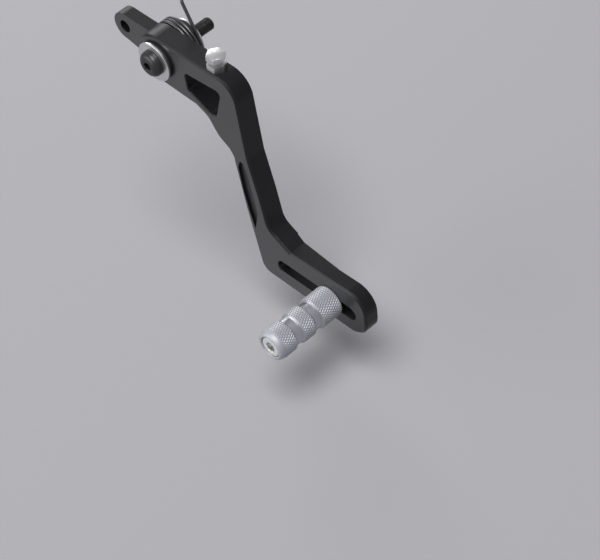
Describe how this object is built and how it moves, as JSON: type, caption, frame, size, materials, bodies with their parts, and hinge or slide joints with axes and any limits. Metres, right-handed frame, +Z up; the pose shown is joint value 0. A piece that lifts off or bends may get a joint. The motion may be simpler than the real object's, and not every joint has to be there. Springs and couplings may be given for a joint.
{
  "type": "rear brake pedal",
  "caption": "Milled motorbike rear brake pedal: sprung lever on a pivot bolt, with an adjustable knurled step pin in its slotted foot.",
  "frame": {"origin": "on the pivot axis, at the plane where the inner washer seats on the bike's bracket", "axes": "+X forward along the bike, +Y along the pivot bolt towards the bike, +Z up"},
  "size_m": [0.1964, 0.0894, 0.1548],
  "materials": {
    "black_anodised": "satin black anodised",
    "clear_anodised": "clear anodised, knurled",
    "plated_steel": "zinc plated",
    "black_steel": "black oxide",
    "spring_steel": "oiled spring wire",
    "bush_bronze": "sintered bronze",
    "seal_rubber": "matt"
  },
  "bodies": {
    "pivot": {"pivot_bolt": "black_steel", "pivot_sleeve": "plated_steel", "pivot_washer_outer": "plated_steel", "pivot_washer_inner": "plated_steel"},
    "pedal": {"pedal_arm": "black_anodised", "pivot_bush_outer": "bush_bronze", "pivot_bush_inner": "bush_bronze", "pivot_seal_outer": "seal_rubber", "pivot_seal_inner": "seal_rubber", "return_spring": "spring_steel", "spring_post": "plated_steel", "stop_locknut": "plated_steel"},
    "stop": {"stop_screw": "plated_steel"},
    "step": {"step_pin": "clear_anodised", "step_pin_screw": "plated_steel", "step_pin_lock_washer": "plated_steel", "step_pin_nut": "plated_steel"}
  },
  "joints": [
    {"name": "pedal_press", "type": "hinge", "parent": "pivot", "child": "pedal", "pos_m": [0, 0, 0], "axis": [0, 1, 0], "range_deg": [0, 12], "stiffness_Nm_per_rad": 4, "springref_deg": -28.65, "deforming": ["return_spring"]},
    {"name": "step_slide", "type": "slide", "parent": "pedal", "child": "step", "axis": [1, 0, 0], "range_m": [-0.0378, 0.0156]},
    {"name": "stop_adjust", "type": "slide", "parent": "pedal", "child": "stop", "axis": [0, 0, 1], "range_m": [-0.0018, 0.003]}
  ]
}
